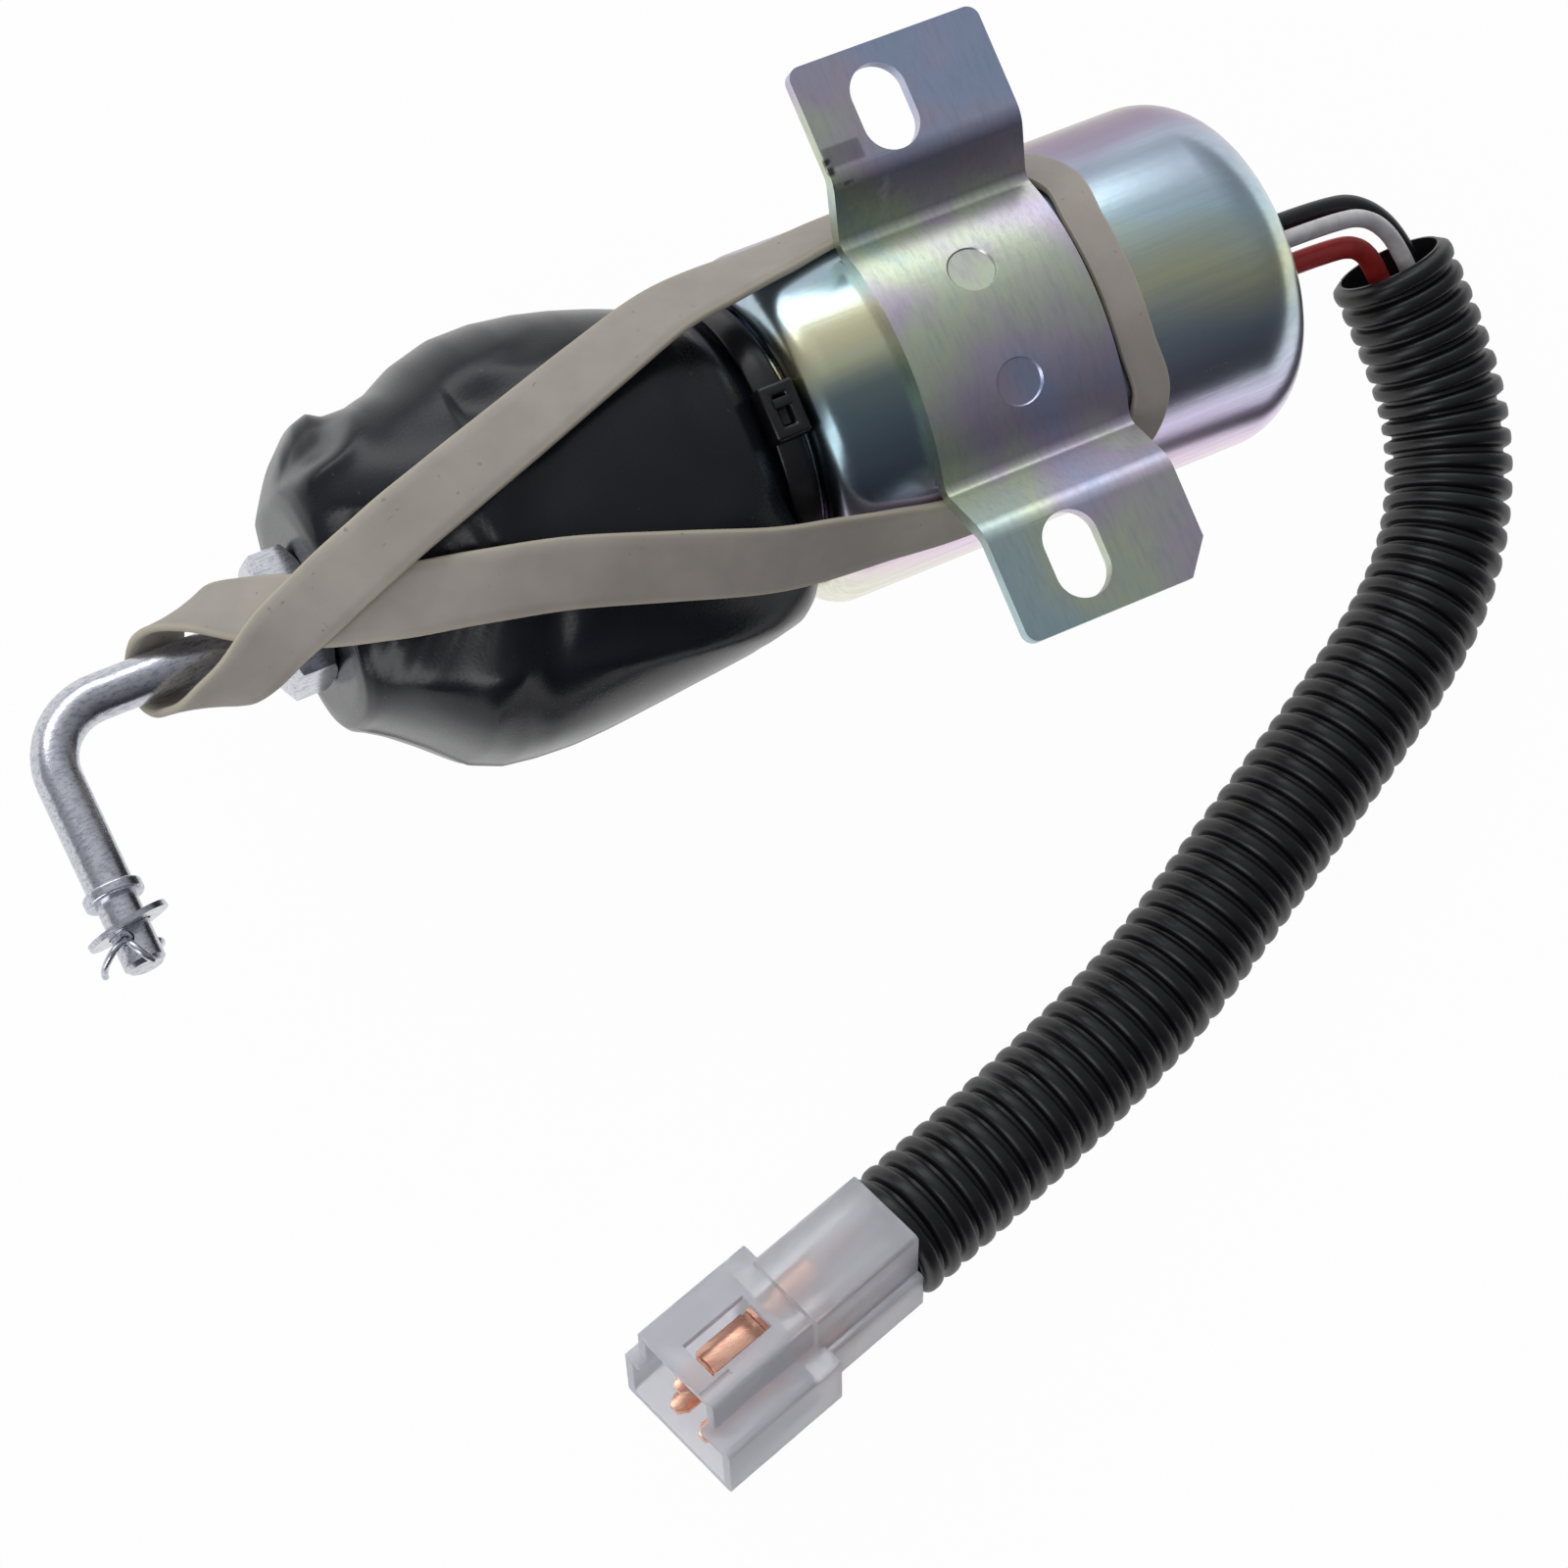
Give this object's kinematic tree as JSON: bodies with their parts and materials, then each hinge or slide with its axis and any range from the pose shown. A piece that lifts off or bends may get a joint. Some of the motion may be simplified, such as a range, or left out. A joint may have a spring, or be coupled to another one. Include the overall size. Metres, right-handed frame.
{
  "type": "fuel shutoff solenoid",
  "caption": "Push-pull fuel shutoff solenoid with a saddle bracket, rubber boot, bent link rod, sheathed leads and a blade connector.",
  "frame": {"origin": "middle of the two bracket slots, on the outer face of the tabs", "axes": "+X along the solenoid towards its wire end, +Y towards one bracket tab, +Z out of the tab faces; stored with the can lying on the ground, tabs up, as drawn in"},
  "size_m": [0.2, 0.1512, 0.0486],
  "materials": {
    "zinc_plate": "zinc plated, satin with a faint iridescence",
    "bright_steel": "bright zinc, slightly grainy",
    "core_steel": "turned steel",
    "spring_steel": "drawn wire",
    "brass_tube": "drawn",
    "winding_copper": "enamelled wire",
    "bobbin_nylon": "moulded",
    "boot_rubber": "smooth, semi-matt",
    "grommet_rubber": "matt",
    "band_rubber": "matt",
    "tie_nylon": "semi-gloss",
    "conduit_plastic": "semi-matt, corrugated",
    "housing_nylon": "milky, translucent",
    "terminal_brass": "rose-copper",
    "lead_black": "smooth",
    "lead_white": "smooth",
    "lead_red": "smooth"
  },
  "bodies": {
    "solenoid": {"can_shell": "zinc_plate", "front_plate": "zinc_plate", "mounting_bracket": "zinc_plate", "coil_bobbin": "bobbin_nylon", "pull_winding": "winding_copper", "hold_winding": "winding_copper", "guide_tube": "brass_tube", "rear_pole_piece": "core_steel", "return_spring": "spring_steel", "boot": "boot_rubber", "cable_tie": "tie_nylon", "elastic_band": "band_rubber", "lead_grommet": "grommet_rubber", "conduit": "conduit_plastic", "connector_housing": "housing_nylon", "blade_terminal_left": "terminal_brass", "blade_terminal_right": "terminal_brass", "blade_terminal_top": "terminal_brass", "wire_black": "lead_black", "wire_white": "lead_white", "wire_red": "lead_red"},
    "plunger": {"plunger_core": "core_steel", "link_rod": "bright_steel", "rod_lock_nut": "bright_steel", "inner_jam_nut": "bright_steel", "spring_seat_washer": "bright_steel", "pin_washer": "bright_steel", "cotter_pin": "bright_steel"}
  },
  "joints": [
    {"name": "plunger_slide", "type": "slide", "parent": "solenoid", "child": "plunger", "axis": [-1, 0, 0], "range_m": [0, 0.0254], "stiffness_N_per_m": 200, "deforming": ["return_spring", "boot", "elastic_band"]}
  ]
}
